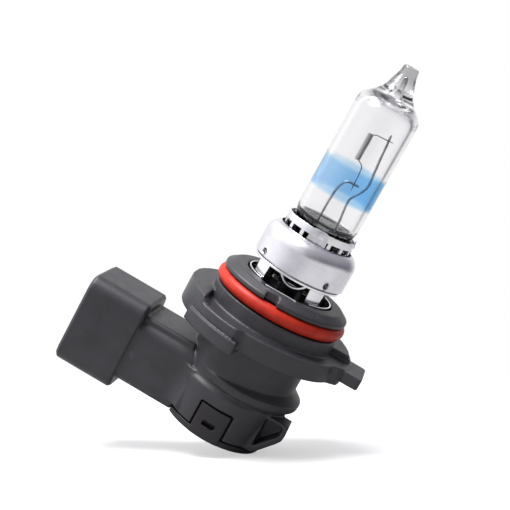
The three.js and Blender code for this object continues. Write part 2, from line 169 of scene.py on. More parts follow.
def make_camera():
    data = bpy.data.cameras.new("camera")
    data.sensor_width = SENSOR
    data.lens = VIEW_LENS
    data.clip_start = 0.005
    data.clip_end = 20.0
    camera = bpy.data.objects.new("camera", data)
    bpy.context.collection.objects.link(camera)
    turn = Matrix((RIGHT, UP, BACK)).transposed().to_4x4()
    camera.matrix_world = Matrix.Translation(VIEW_TARGET + BACK * VIEW_DISTANCE) @ turn
    bpy.context.scene.camera = camera


# ---- node helpers
class Nodes:
    """A thin layer over a node tree: add nodes and link sockets in one call."""

    def __init__(self, tree):
        self.tree = tree

    def add(self, kind, inputs=None, **settings):
        node = self.tree.nodes.new(kind)
        for name, value in settings.items():
            setattr(node, name, value)
        for key, value in (inputs or {}).items():
            socket = node.inputs[key]
            if isinstance(value, bpy.types.NodeSocket):
                self.tree.links.new(value, socket)
            else:
                socket.default_value = value
        return node

    def ramp(self, factor, stops, smooth=False):
        node = self.add("ShaderNodeValToRGB", {"Fac": factor})
        ramp = node.color_ramp
        if smooth:
            ramp.interpolation = "EASE"
        while len(ramp.elements) < len(stops):
            ramp.elements.new(0.5)
        for element, (place, colour) in zip(ramp.elements, stops):
            element.position = place
            element.color = (*colour, 1.0)
        return node.outputs["Color"]

    def noise(self, vector, scale, detail=4.0, roughness=0.55):
        node = self.add("ShaderNodeTexNoise", {"Vector": vector, "Scale": scale,
                                               "Detail": detail, "Roughness": roughness})
        return node.outputs["Fac"]

    def mix(self, share, a, b, blend="MIX"):
        return self.add("ShaderNodeMixRGB", {"Fac": share, "Color1": a, "Color2": b},
                        blend_type=blend).outputs["Color"]

    def maths(self, operation, a, b):
        return self.add("ShaderNodeMath", {0: a, 1: b}, operation=operation).outputs[0]

    def spread(self, value, low, high):
        return self.spread_from(value, 0.0, 1.0, low, high)

    def spread_from(self, value, start, end, low, high):
        node = self.add("ShaderNodeMapRange", {"Value": value, "From Min": start, "From Max": end,
                                               "To Min": low, "To Max": high})
        return node.outputs["Result"]

    def bump(self, height, strength, distance, normal=None):
        inputs = {"Height": height, "Strength": strength, "Distance": distance}
        if normal is not None:
            inputs["Normal"] = normal
        return self.add("ShaderNodeBump", inputs).outputs["Normal"]


def new_material(name):
    material = bpy.data.materials.new(name)
    material.use_nodes = True
    tree = material.node_tree
    tree.nodes.clear()
    nodes = Nodes(tree)
    coords = nodes.add("ShaderNodeTexCoord").outputs["Object"]
    shader = nodes.add("ShaderNodeBsdfPrincipled")
    nodes.output = nodes.add("ShaderNodeOutputMaterial", {"Surface": shader.outputs["BSDF"]})
    return material, nodes, coords, shader


def link(nodes, source, shader, name):
    nodes.tree.links.new(source, shader.inputs[name])


# ---- stage
def make_world():
    """A white panel behind the bulb, soft light above and to the left, a greyer right.

    The camera itself sees plain white wherever it looks past the bulb."""
    world = bpy.data.worlds.new("studio")
    bpy.context.scene.world = world
    world.use_nodes = True
    nodes = Nodes(world.node_tree)
    world.node_tree.nodes.clear()
    output = nodes.add("ShaderNodeOutputWorld")
    direction = nodes.add("ShaderNodeTexCoord").outputs["Generated"]

    def along(axis):
        return nodes.add("ShaderNodeVectorMath", {0: direction, 1: axis},
                         operation="DOT_PRODUCT").outputs["Value"]

    across = nodes.spread_from(along(RIGHT), -1.0, 1.0, 0.0, 1.0)
    height = nodes.spread_from(along(UP), -1.0, 1.0, 0.0, 1.0)
    behind = nodes.add("ShaderNodeMapRange", {"Value": along(-BACK), "From Min": PANEL_EDGES[0],
                                              "From Max": PANEL_EDGES[1]},
                       interpolation_type="SMOOTHSTEP").outputs["Result"]
    sides = nodes.ramp(across, STUDIO_SIDES, smooth=True)
    levels = nodes.ramp(height, STUDIO_LEVELS, smooth=True)
    white = (1.0, 1.0, 1.0, 1.0)
    panel = nodes.mix(behind, nodes.mix(1.0, sides, levels, "MULTIPLY"), white)
    lit = nodes.add("ShaderNodeBackground", {"Color": panel})
    seen = nodes.add("ShaderNodeBackground", {"Color": white})
    camera_ray = nodes.add("ShaderNodeLightPath").outputs["Is Camera Ray"]
    both = nodes.add("ShaderNodeMixShader", {0: camera_ray, 1: lit.outputs["Background"],
                                             2: seen.outputs["Background"]})
    world.node_tree.links.new(both.outputs["Shader"], output.inputs["Surface"])


def make_key_light():
    """A square soft box at right, up, back distances from the view's target."""
    data = bpy.data.lights.new("key", "AREA")
    data.shape = "RECTANGLE"
    data.size = data.size_y = KEY["side"] * MM
    data.energy = KEY["power"]
    light = bpy.data.objects.new("key", data)
    bpy.context.collection.objects.link(light)
    right, up, back = KEY["place"]
    offset = (RIGHT * right + UP * up + BACK * back) * MM
    light.location = VIEW_TARGET + offset
    light.rotation_mode = "QUATERNION"
    light.rotation_quaternion = offset.to_track_quat("Z", "Y")


# ---- mesh helpers: everything below is in millimetres until make_piece scales it
def circle(radius, count, start=0.0, span=2 * math.pi):
    return [(radius * math.cos(start + span * i / count), radius * math.sin(start + span * i / count))
            for i in range(count)]


def arc(radius, start_deg, end_deg, step=2.0, centre=(0.0, 0.0)):
    count = max(1, round(abs(end_deg - start_deg) / step))
    angles = [math.radians(start_deg + (end_deg - start_deg) * i / count) for i in range(count + 1)]
    return [(centre[0] + radius * math.cos(a), centre[1] + radius * math.sin(a)) for a in angles]


def softened(points, radius, closed=False, steps=4):
    """The same outline with each corner rounded by a curve of about this radius."""
    count = len(points)
    result = []
    for i, point in enumerate(points):
        if not closed and i in (0, count - 1):
            result.append(tuple(point))
            continue
        corner = Vector(point)
        before = Vector(points[i - 1]) - corner
        after = Vector(points[(i + 1) % count]) - corner
        reach = min(radius, before.length * 0.45, after.length * 0.45)
        start = corner + before.normalized() * reach
        end = corner + after.normalized() * reach
        for step in range(steps + 1):
            t = step / steps
            result.append(tuple(start * (1 - t) ** 2 + corner * 2 * t * (1 - t) + end * t ** 2))
    return result


def lathe(points, sides=160, centre_x=0.0, closed=False):
    """A solid turned about Z from (radius, z) points that run up the outside."""
    verts = []
    rings = []
    for radius, z in points:
        if radius < 1e-6:
            rings.append([len(verts)])
            verts.append((centre_x, 0.0, z))
            continue
        rings.append(list(range(len(verts), len(verts) + sides)))
        verts += [(centre_x + x, y, z) for x, y in circle(radius, sides)]
    pairs = list(zip(rings, rings[1:]))
    if closed:
        pairs.append((rings[-1], rings[0]))
    faces = []
    for low, high in pairs:
        for i in range(sides):
            j = (i + 1) % sides
            if len(low) == 1:
                faces.append((low[0], high[j], high[i]))
            elif len(high) == 1:
                faces.append((low[i], low[j], high[0]))
            else:
                faces.append((low[i], low[j], high[j], high[i]))
    return verts, faces


def ring_solid(inner, outer, bottom, top, sides=160, edge=0.08):
    section = softened([(inner, bottom), (outer, bottom), (outer, top), (inner, top)], edge, True)
    return lathe(section, sides, closed=True)


def disc_solid(radius, bottom, top, sides=160, edge=0.0):
    corners = [(0.0, bottom), (radius, bottom), (radius, top), (0.0, top)]
    return lathe(softened(corners, edge) if edge else corners, sides)


def prism(outline, low, high, axis="z"):
    """An outline swept from low to high. Along z it holds (x, y), along y (x, z), along x (y, z)."""
    place = {"z": lambda a, b, c: (a, b, c), "y": lambda a, b, c: (a, c, b),
             "x": lambda a, b, c: (c, a, b)}[axis]
    count = len(outline)
    area = sum(outline[i][0] * outline[(i + 1) % count][1] - outline[(i + 1) % count][0] * outline[i][1]
               for i in range(count))
    points = outline if (area > 0) != (axis == "y") else outline[::-1]
    verts = [place(a, b, low) for a, b in points] + [place(a, b, high) for a, b in points]
    faces = [tuple(reversed(range(count))), tuple(range(count, 2 * count))]
    faces += [(i, (i + 1) % count, count + (i + 1) % count, count + i) for i in range(count)]
    return verts, faces


def block(x, y, z):
    return prism([(x[0], y[0]), (x[1], y[0]), (x[1], y[1]), (x[0], y[1])], z[0], z[1])


def round_rect(half, bottom, top, radius, step=6.0):
    """A rounded rectangle of (y, z) points."""
    corners = [(half - radius, bottom + radius, -90), (half - radius, top - radius, 0),
               (radius - half, top - radius, 90), (radius - half, bottom + radius, 180)]
    points = []
    for y, z, start in corners:
        points += arc(radius, start, start + 90, step, (y, z))
    return points


def sector_solid(inner, outer, start, end, bottom, top):
    return prism(arc(outer, start, end) + arc(inner, end, start), bottom, top)


def tube(points, radius, sides=16, steps=12):
    """A round wire with rounded ends along a smooth curve through the points."""
    path = smooth_path([Vector(p) for p in points], steps)
    verts = []
    faces = []
    side = (path[1] - path[0]).orthogonal().normalized()
    scales = [0.55] + [1.0] * (len(path) - 2) + [0.55]
    for i, (centre, scale) in enumerate(zip(path, scales)):
        ahead = path[min(i + 1, len(path) - 1)] - path[max(i - 1, 0)]
        ahead.normalize()
        side = (side - ahead * side.dot(ahead)).normalized()
        other = ahead.cross(side)
        verts += [tuple(centre + (side * a + other * b) * scale) for a, b in circle(radius, sides)]
    for row in range(len(path) - 1):
        for i in range(sides):
            j = (i + 1) % sides
            low, high = row * sides, (row + 1) * sides
            faces.append((low + i, low + j, high + j, high + i))
    last = (len(path) - 1) * sides
    faces += [tuple(reversed(range(sides))), tuple(range(last, last + sides))]
    return verts, faces


def smooth_path(points, steps):
    """A Catmull-Rom curve through the points."""
    ends = [points[0] * 2 - points[1]] + points + [points[-1] * 2 - points[-2]]
    path = []
    for a, b, c, d in zip(ends, ends[1:], ends[2:], ends[3:]):
        for step in range(steps):
            t = step / steps
            path.append(0.5 * (2 * b + (c - a) * t + (2 * a - 5 * b + 4 * c - d) * t ** 2
                               + (3 * b - a - 3 * c + d) * t ** 3))
    return path + [points[-1]]


def mesh_from(name, solids):
    """One mesh, in metres, of several closed solids."""
    verts = []
    faces = []
    for solid_verts, solid_faces in solids:
        base = len(verts)
        verts += [tuple(c * MM for c in v) for v in solid_verts]
        faces += [tuple(base + i for i in face) for face in solid_faces]
    mesh = bpy.data.meshes.new(name)
    mesh.from_pydata(verts, [], faces)
    form = bmesh.new()
    form.from_mesh(mesh)
    bmesh.ops.recalc_face_normals(form, faces=form.faces)
    form.to_mesh(mesh)
    form.free()
    return mesh


def new_object(name, mesh):
    made = bpy.data.objects.new(name, mesh)
    bpy.context.collection.objects.link(made)
    return made


def applied(made):
    """Replaces an object's mesh with what its modifiers make of it."""
    graph = bpy.context.evaluated_depsgraph_get()
    mesh = bpy.data.meshes.new_from_object(made.evaluated_get(graph))
    made.modifiers.clear()
    made.data = mesh
    return made


def combined(made, operation, solid):
    """Joins, cuts or trims an object by one more closed solid."""
    helper = new_object("helper", mesh_from("helper", [solid]))
    boolean = made.modifiers.new("boolean", "BOOLEAN")
    boolean.operation = operation
    boolean.solver = "MANIFOLD"
    boolean.object = helper
    applied(made)
    bpy.data.objects.remove(helper)


def carved(name, solids, cutters=()):
    """The union of the solids less the cutters, as one object."""
    made = new_object(name, mesh_from(name, solids[:1]))
    for operation, group in (("UNION", solids[1:]), ("DIFFERENCE", cutters)):
        for solid in group:
            combined(made, operation, solid)
    return made


def moulded(made, voxel, rounds, keep):
    """Rounds every edge a little, as a mould does: remesh, smooth, then thin out."""
    remesh = made.modifiers.new("remesh", "REMESH")
    remesh.mode = "VOXEL"
    remesh.voxel_size = voxel * MM
    smooth = made.modifiers.new("smooth", "SMOOTH")
    smooth.factor = 0.5
    smooth.iterations = rounds
    thin = made.modifiers.new("thin", "DECIMATE")
    thin.ratio = keep
    return applied(made)


def finished(made, material, nodes, sharp=40.0):
    """Shading, material and the frame's bookkeeping for one piece."""
    mesh = made.data
    mesh.shade_smooth()
    if sharp:
        mesh.set_sharp_from_angle(angle=math.radians(sharp))
    mesh.materials.clear()
    mesh.materials.append(material)
    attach(made, ROOT)
    if nodes:
        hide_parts(*nodes)


def make_piece(name, solids, material, nodes, sharp=40.0):
    finished(new_object(name, mesh_from(name, solids)), material, nodes, sharp)


# ---- materials
PER_MM = 1.0 / MM


def plastic_material(name, tone, grain=0.06):
    """Glass-filled charcoal moulding: spark-eroded grain, faint flow marks, and convex edges painted
    lighter, partly as rubbed wear and partly as a painted edge highlight.
    """
    material, nodes, coords, shader = new_material(name)
    cloud = nodes.noise(coords, 0.25 * PER_MM, 3.0)
    dark = tuple(c * 0.82 for c in tone)
    light = tuple(c * 1.2 for c in tone)
    colour = nodes.ramp(cloud, [(0.3, dark), (0.7, light)])
    # Convex edges painted lighter: partly rubbed wear, partly a painted edge highlight.
    edge = nodes.add("ShaderNodeNewGeometry").outputs["Pointiness"]
    edge_wear_and_highlight = nodes.spread_from(edge, 0.52, 0.6, 0.0, 0.5)
    worn_and_highlit = nodes.mix(edge_wear_and_highlight, colour, (*(c * 1.9 for c in tone), 1.0))
    link(nodes, worn_and_highlit, shader, "Base Color")
    fine = nodes.noise(coords, 4.5 * PER_MM, 3.0, 0.6)
    rough = nodes.spread(nodes.noise(coords, 0.9 * PER_MM, 4.0), 0.36, 0.54)
    link(nodes, rough, shader, "Roughness")
    flow = nodes.noise(coords, 0.12 * PER_MM, 2.0)
    normal = nodes.bump(fine, 0.35, grain * MM)
    link(nodes, nodes.bump(flow, 0.15, 0.15 * MM, normal), shader, "Normal")
    shader.inputs["Specular IOR Level"].default_value = 0.42
    return material


def rubber_material():
    """Red silicone with an oily gloss, a faint bloom and fine moulding specks."""
    material, nodes, coords, shader = new_material("seal_rubber")
    cloud = nodes.noise(coords, 0.5 * PER_MM, 3.0)
    colour = nodes.ramp(cloud, [(0.25, (0.32, 0.01, 0.004)), (0.75, (0.47, 0.028, 0.01))])
    link(nodes, colour, shader, "Base Color")
    rough = nodes.spread(nodes.noise(coords, 2.0 * PER_MM, 4.0), 0.4, 0.6)
    link(nodes, rough, shader, "Roughness")
    link(nodes, nodes.bump(nodes.noise(coords, 3.0 * PER_MM, 3.0), 0.25, 0.03 * MM), shader, "Normal")
    shader.inputs["Specular IOR Level"].default_value = 0.22
    shader.inputs["Coat Weight"].default_value = 0.08
    shader.inputs["Coat Roughness"].default_value = 0.3
    shader.inputs["Subsurface Weight"].default_value = 0.1
    shader.inputs["Subsurface Radius"].default_value = (0.8 * MM, 0.2 * MM, 0.1 * MM)
    return material


def brushed(nodes, coords, across, along):
    """Noise drawn out round the bulb's axis: along per mm round it, across per mm up it."""
    stretch = nodes.add("ShaderNodeMapping", {"Vector": coords, "Scale": (along, along, across)})
    return nodes.noise(stretch.outputs["Vector"], PER_MM, 4.0, 0.7)


def weld_marks(nodes, coords):
    """A scorched ring round each spot weld: 1 on the metal round it, less in the ring."""
    nearest = 10.0 * MM
    for spot in WELDS["angles"]:
        place = (CAN["radius"] * math.cos(math.radians(spot)) * MM,
                 CAN["radius"] * math.sin(math.radians(spot)) * MM, WELDS["level"] * MM)
        away = nodes.add("ShaderNodeVectorMath", {0: coords, 1: place}, operation="DISTANCE")
        nearest = nodes.maths("MINIMUM", away.outputs["Value"], nearest)
    share = nodes.spread_from(nearest, 0.0, WELDS["size"] * MM, 0.0, 1.0)
    return nodes.ramp(share, [(0.0, (0.6, 0.6, 0.6)), (0.28, (0.16, 0.16, 0.17)),
                              (0.6, (0.3, 0.3, 0.31)), (0.85, (1.0, 1.0, 1.0))])


def steel_material(name, tone, low, high, across=9.0, along=0.25, welded=False):
    """Drawn steel sheet: fine lines round the axis, smudges and uneven shine."""
    material, nodes, coords, shader = new_material(name)
    lines = brushed(nodes, coords, across, along)
    smudge = nodes.noise(coords, 0.35 * PER_MM, 4.0)
    colour = nodes.ramp(smudge, [(0.3, tuple(c * 0.86 for c in tone)), (0.7, tone)])
    if welded:
        colour = nodes.mix(1.0, colour, weld_marks(nodes, coords), "MULTIPLY")
    link(nodes, colour, shader, "Base Color")
    both = nodes.mix(0.5, lines, smudge)
    link(nodes, nodes.spread(both, low, high), shader, "Roughness")
    link(nodes, nodes.bump(lines, 0.3, 0.02 * MM), shader, "Normal")
    shader.inputs["Metallic"].default_value = 1.0
    shader.inputs["Anisotropic"].default_value = 0.35
    return material


def clip_material():
    """Bright strip with painted shade: nearly black inside the cup, under the capsule's foot."""
    material, nodes, coords, shader = new_material("clip_steel_painted_shade")
    place = nodes.add("ShaderNodeSeparateXYZ", {0: coords})
    flat = nodes.add("ShaderNodeCombineXYZ", {0: place.outputs["X"], 1: place.outputs["Y"]})
    radius = nodes.add("ShaderNodeVectorMath", {0: flat.outputs["Vector"]},
                       operation="LENGTH").outputs["Value"]
    mottle = nodes.noise(coords, 0.9 * PER_MM, 4.0)
    ragged = nodes.maths("ADD", radius, nodes.spread(mottle, -0.12 * MM, 0.12 * MM))
    # Painted shade: 0 inside the cup's ragged dark radius, 1 outside it.
    outside_shade = nodes.spread_from(ragged, (CLIP["dark"] - 0.1) * MM, (CLIP["dark"] + 0.1) * MM, 0.0, 1.0)
    colour = nodes.ramp(outside_shade, [(0.0, (0.03, 0.03, 0.032)), (1.0, (0.8, 0.8, 0.83))])
    link(nodes, colour, shader, "Base Color")
    link(nodes, nodes.spread(mottle, 0.16, 0.4), shader, "Roughness")
    link(nodes, nodes.bump(nodes.noise(coords, 3.0 * PER_MM), 0.25, 0.04 * MM), shader, "Normal")
    shader.inputs["Metallic"].default_value = 1.0
    return material


def wire_material(name, tone, low, high):
    """Drawn refractory wire, dull with a mottled oxide bloom."""
    material, nodes, coords, shader = new_material(name)
    cloud = nodes.noise(coords, 1.5 * PER_MM, 4.0)
    colour = nodes.ramp(cloud, [(0.3, tuple(c * 0.6 for c in tone)), (0.75, tone)])
    link(nodes, colour, shader, "Base Color")
    link(nodes, nodes.spread(cloud, low, high), shader, "Roughness")
    link(nodes, nodes.bump(nodes.noise(coords, 8.0 * PER_MM), 0.2, 0.02 * MM), shader, "Normal")
    shader.inputs["Metallic"].default_value = 1.0
    return material


def glass_material():
    """Clear quartz with slow drawing waves and a flame-worked tip; painted shade darkens its foot and
    greys its tip.
    """
    material, nodes, coords, shader = new_material("quartz_glass")
    shader.inputs["Transmission Weight"].default_value = 1.0
    shader.inputs["IOR"].default_value = 1.46
    height = nodes.add("ShaderNodeSeparateXYZ", {0: coords}).outputs["Z"]
    ragged = nodes.maths("ADD", height, nodes.spread(nodes.noise(coords, PER_MM), -0.1 * MM,
                                                     0.1 * MM))
    # Painted shade: near black below the cavity floor level, with a ragged edge.
    painted_dark_foot = nodes.spread_from(ragged, *(z * MM for z in GLASS["painted_shade_foot"]), 0.0, 0.3)
    # Painted shade: the tip is painted grey between the two tip levels; the glass is no thicker there.
    thick = nodes.spread_from(height, *(z * MM for z in GLASS["painted_grey_tip"]), 0.0, 0.7)
    link(nodes, nodes.ramp(nodes.maths("ADD", painted_dark_foot, thick), [
        (0.0, (0.2, 0.2, 0.205)), (0.3, (0.94, 0.935, 0.945)), (1.0, (0.44, 0.435, 0.445))]),
         shader, "Base Color")
    haze = nodes.spread_from(nodes.noise(coords, 0.6 * PER_MM, 3.0), 0.45, 0.8, 0.0, 0.06)
    flamed = nodes.spread_from(height, *(z * MM for z in GLASS["flamed"]), 0.0, 0.16)
    link(nodes, nodes.maths("ADD", haze, flamed), shader, "Roughness")
    waves = brushed(nodes, coords, 0.12, 0.5)
    link(nodes, nodes.bump(waves, 0.25, 0.05 * MM), shader, "Normal")
    return material


def band_material():
    """The blue filter layer: clear at its two rims, paler towards the connector side."""
    material, nodes, coords, shader = new_material("blue_filter")
    height = nodes.add("ShaderNodeSeparateXYZ", {0: coords}).outputs["Z"]
    wobble = nodes.spread(nodes.noise(coords, 0.4 * PER_MM, 2.0), -0.08 * MM, 0.08 * MM)
    level = nodes.maths("ADD", height, wobble)
    share = nodes.spread_from(level, BAND["bottom"] * MM, BAND["top"] * MM, 0.0, 1.0)
    clear = (1.0, 1.0, 1.0)
    tint = nodes.ramp(share, [(0.0, clear), (0.05, (0.62, 0.83, 0.97)), (0.12, (0.40, 0.68, 0.94)),
                              (0.88, (0.44, 0.72, 0.95)), (0.95, (0.66, 0.86, 0.98)), (1.0, clear)])
    across = nodes.add("ShaderNodeSeparateXYZ", {0: coords}).outputs["X"]
    # The tint turns paler towards -X, the connector side.
    paler_to_minus_x = nodes.spread_from(across, -4.5 * MM, 3.5 * MM, 0.42, 0.0)
    link(nodes, nodes.mix(paler_to_minus_x, tint, (0.9, 0.95, 1.0, 1.0)), shader, "Base Color")
    shader.inputs["Transmission Weight"].default_value = 1.0
    shader.inputs["IOR"].default_value = 1.3
    rough = nodes.spread(nodes.noise(coords, 2.0 * PER_MM, 3.0), 0.0, 0.04)
    link(nodes, rough, shader, "Roughness")
    return material


def floor_material():
    """Matt paper, clear from underneath and at its rim, half clear to the camera, dim to the bulb."""
    material, nodes, coords, shader = new_material("paper")
    paper = nodes.ramp(nodes.noise(coords, 0.01 * PER_MM), [(0.0, (0.93, 0.93, 0.94)),
                                                            (1.0, (0.96, 0.96, 0.96))])
    seen = nodes.add("ShaderNodeLightPath").outputs["Is Camera Ray"]
    dimmed = nodes.mix(seen, (*[PAPER_GLOW] * 3, 1.0), paper)
    link(nodes, dimmed, shader, "Base Color")
    shader.inputs["Roughness"].default_value = 0.9
    clear = nodes.add("ShaderNodeBsdfTransparent")
    under = nodes.add("ShaderNodeNewGeometry").outputs["Backfacing"]
    centre = nodes.add("ShaderNodeVectorMath", {0: coords}, operation="LENGTH").outputs["Value"]
    far = nodes.add("ShaderNodeMapRange", {"Value": centre, "From Min": FLOOR_FADE[0] * MM,
                                           "From Max": FLOOR_FADE[1] * MM},
                    interpolation_type="SMOOTHSTEP").outputs["Result"]
    veil = nodes.maths("MULTIPLY", seen, FLOOR_VEIL)
    hidden = nodes.maths("MAXIMUM", nodes.maths("MAXIMUM", under, far), veil)
    both = nodes.add("ShaderNodeMixShader", {0: hidden, 1: shader.outputs["BSDF"],
                                             2: clear.outputs["BSDF"]})
    nodes.tree.links.new(both.outputs["Shader"], nodes.output.inputs["Surface"])
    return material


# ---- the capsule
def glass_outside():
    r = GLASS["radius"]
    foot = [(0.0, GLASS["foot"]), (r - 1.1, GLASS["foot"]), (r - 0.25, GLASS["foot"] + 0.8),
            (r, GLASS["foot"] + 2.0)]
    shoulder = [(r, GLASS["straight"]), (5.6, 40.8), (5.3, 41.35), (4.85, 41.8), (4.2, 42.3),
                (3.7, 42.7), (3.3, 43.2), (2.75, 43.8)]
    tip = [(2.4, 44.6), (2.2, 45.3), (1.75, 46.5), (1.5, 47.4), (1.42, 48.1), (1.3, 48.4),
           (0.9, 48.5), (0.0, 48.5)]
    return foot + shoulder + tip


def glass_hollow():
    """The gas space, with the thin leftover of the pumping tube up into the tip."""
    inner = GLASS["radius"] - GLASS["wall"]
    floor = GLASS["cavity"]
    return [(0.0, floor), (inner - 0.9, floor), (inner - 0.2, floor + 0.35), (inner, floor + 1.1),
            (inner, GLASS["straight"] - 0.6), (4.65, 40.2), (4.3, 40.8), (3.6, 41.3),
            (2.4, 41.8), (1.2, 42.0), (0.8, 42.5), (0.5, 43.6), (0.42, 45.4), (0.25, 46.3), (0.0, 46.6)]


def make_glass(material):
    half_x = GLASS["pinch_width"] / 2
    half_y = GLASS["pinch_depth"] / 2
    pinch_outline = softened([(-half_x, -half_y), (half_x, -half_y), (half_x, half_y),
                              (-half_x, half_y)], 0.9, True)
    pinch = prism(pinch_outline, GLASS["pinch_bottom"], GLASS["foot"] + 0.6)
    slots = [block((x - 1.25, x + 1.25), (-0.5, 0.5),
                   (GLASS["pinch_bottom"] - 1, GLASS["cavity"] + 0.4)) for x in LEADS.values()]
    envelope = carved("quartz_capsule", [lathe(softened(glass_outside(), 0.5)), pinch],
                      [lathe(softened(glass_hollow(), 0.5)), *slots])
    finished(envelope, material, ["glass_envelope"], 30.0)


def make_band(material):
    inner = BAND["radius"] - BAND["thick"]
    shell = lathe([(inner, BAND["bottom"]), (BAND["radius"], BAND["bottom"]),
                   (BAND["radius"], BAND["top"]), (inner, BAND["top"])], closed=True)
    make_piece("blue_filter_band", [shell], material, [])


def make_filament(material):
    per_turn = 14
    count = COIL["turns"] * per_turn
    coil = []
    for i in range(count + 1):
        angle = 2 * math.pi * i / per_turn
        z = COIL["bottom"] + (COIL["top"] - COIL["bottom"]) * i / count
        coil.append((COIL["x"] + COIL["radius"] * math.cos(angle), COIL["radius"] * math.sin(angle), z))
    lower = [(1.15, -0.5, 25.7), (1.05, -0.5, 28.2), (0.85, -0.4, 29.9), (0.45, -0.1, 30.4)]
    upper = [(0.5, -0.2, 35.95), (1.6, -0.55, 36.0), (3.4, -0.55, 36.1)]
    make_piece("filament", [tube(lower + coil + upper, COIL["wire"], 8, 2)], material,
               ["filament_coil"])


def make_posts(material):
    long_post = [(2.1, 0, 15.8), (2.1, 0, 19.1), (1.8, 0, 21.7), (1.65, 0, 23.3), (1.75, 0, 24.4),
                 (3.0, 0, 26.5), (3.35, 0, 27.7), (3.3, 0, 28.7), (2.9, 0, 32.4), (2.5, 0, 37.1)]
    short_post = [(-1.45, 0, 15.8), (-1.35, 0, 19.1), (-1.3, 0, 22.4), (-1.1, 0, 24.8),
                  (-0.6, 0, 26.2), (0.2, 0, 26.8), (2.0, 0, 26.85)]
    make_piece("long_post", [tube(long_post, POST)], material, ["long_support_post"])
    make_piece("short_post", [tube(short_post, POST)], material,
               ["short_support_post"])


def make_seals(material):
    """The foils welded to the posts, pressed into the pinch, and the pins below them."""
    for side, x in LEADS.items():
        half = FOIL["width"] / 2
        outline = softened([(x - half, FOIL["bottom"]), (x + half, FOIL["bottom"]),
                            (x + half, FOIL["top"]), (x - half, FOIL["top"])], 0.3, True)
        make_piece("foil_" + side, [prism(outline, -FOIL["thick"] / 2, FOIL["thick"] / 2, "y")],
                   material, ["pinch_foil_" + side])
        pin = tube([(x, 0, PIN["bottom"]), (x, 0, 0), (x, 0, PIN["top"])], PIN["radius"], 24)
        make_piece("pin_" + side, [pin], material, ["lead_pin_" + side])


# ---- the metal holder
def weld_dimple(x, y, z):
    """How far a spot weld pushes the can's wall in at this point, in millimetres."""
    if abs(z - WELDS["level"]) > WELDS["size"]:
        return 0.0
    angle = math.atan2(y, x)
    radius = math.hypot(x, y)
    for spot in WELDS["angles"]:
        across = (angle - math.radians(spot) + math.pi) % (2 * math.pi) - math.pi
        reach = math.hypot(across * radius, z - WELDS["level"])
        if reach < WELDS["size"]:
            pit = math.exp(-((reach - 0.3) / 0.16) ** 2)
            rim = math.exp(-((reach - 0.62) / 0.1) ** 2)
            return WELDS["depth"] * (pit - 0.2 * rim)
    return 0.0


def can_profile():
    """The drawn wall, straight up and then turning in over the shoulder to the mouth."""
    radius, wall, mouth = CAN["radius"], CAN["wall"], CAN["mouth"]
    bottom, bend = CAN["bottom"], CAN["shoulder"]
    side_top = CAN["top"] - bend
    rows = 60
    outside = [(radius, bottom + 0.1 + (side_top - bottom - 0.1) * i / rows)
               for i in range(rows + 1)]
    centre = (radius - bend, side_top)
    outer_turn, inner_turn = (math.degrees(math.acos((mouth - centre[0]) / reach))
                              for reach in (bend, bend - wall))
    outside += arc(bend, 3, outer_turn, 4.0, centre)
    inside = arc(bend - wall, inner_turn, 0, 6.0, centre)
    inside += [(radius - wall, bottom + 0.1), (radius - wall + 0.1, bottom),
               (radius - 0.1, bottom)]
    return outside + inside


def make_can(material):
    verts, faces = lathe(can_profile(), 480, closed=True)
    pressed = []
    for x, y, z in verts:
        radius = math.hypot(x, y)
        depth = weld_dimple(x, y, z) if radius > CAN["radius"] - 0.1 else 0.0
        share = (radius - depth) / radius
        pressed.append((x * share, y * share, z))
    make_piece("focus_can_shell", [(pressed, faces)], material, ["focus_can"], 50.0)


def curved_strip(inner, outer, low_half, high_half, angle, bottom, top):
    """A piece of tube wall round an angle, narrower at its foot than at its top."""
    columns, rows = 16, 12
    verts = []
    for row in range(rows + 1):
        t = row / rows
        half = low_half + (high_half - low_half) * t
        z = bottom + (top - bottom) * t
        for radius in (inner, outer):
            for column in range(columns + 1):
                a = math.radians(angle - half + 2 * half * column / columns)
                verts.append((radius * math.cos(a), radius * math.sin(a), z))
    wide = columns + 1
    faces = []
    for row in range(rows):
        low, high = row * 2 * wide, (row + 1) * 2 * wide
        for i in range(columns):
            faces.append((low + wide + i, low + wide + i + 1, high + wide + i + 1, high + wide + i))
            faces.append((low + i, high + i, high + i + 1, low + i + 1))
        faces.append((low, low + wide, high + wide, high))
        faces.append((low + columns, high + columns, high + wide + columns, low + wide + columns))
    for base, flip in ((0, True), (rows * 2 * wide, False)):
        for i in range(columns):
            face = (base + i, base + wide + i, base + wide + i + 1, base + i + 1)
            faces.append(face if flip else face[::-1])
    return verts, faces


def make_carrier(material):
    inner = CARRIER["radius"] - CARRIER["wall"]
    outer = CARRIER["radius"]
    sleeve = ring_solid(inner, outer, CARRIER["bottom"], CARRIER["top"])
    lip = ring_solid(inner, outer + CARRIER["lip"], CARRIER["bottom"], CARRIER["bottom"] + 0.4)
    legs = [curved_strip(inner, outer, CARRIER["leg_foot_half"], CARRIER["leg_top_half"], angle,
                         CARRIER["leg_bottom"], CARRIER["bottom"] + 0.2)
            for angle in CARRIER["leg_angles"]]
    holder = carved("carrier_and_legs", [sleeve, lip, *legs])
    finished(holder, material, ["carrier_ring"], 35.0)


def clip_cup():
    """The cup round the capsule's foot, with a row of windows under its rim."""
    cup, wall, low, top = CLIP["cup"], CLIP["cup_wall"], CLIP["floor"], CLIP["top"]
    rim = ring_solid(cup, cup + wall, low, top, 240, 0.05)
    base = disc_solid(cup + 0.1, low, low + CLIP["thick"], edge=0.1)
    half = CLIP["post_half"]
    posts = [curved_strip(cup, cup + wall, half, half, angle, CLIP["plate"] + 0.1, low + 0.1)
             for angle in CLIP["posts"]]
    return [base, rim, *posts]


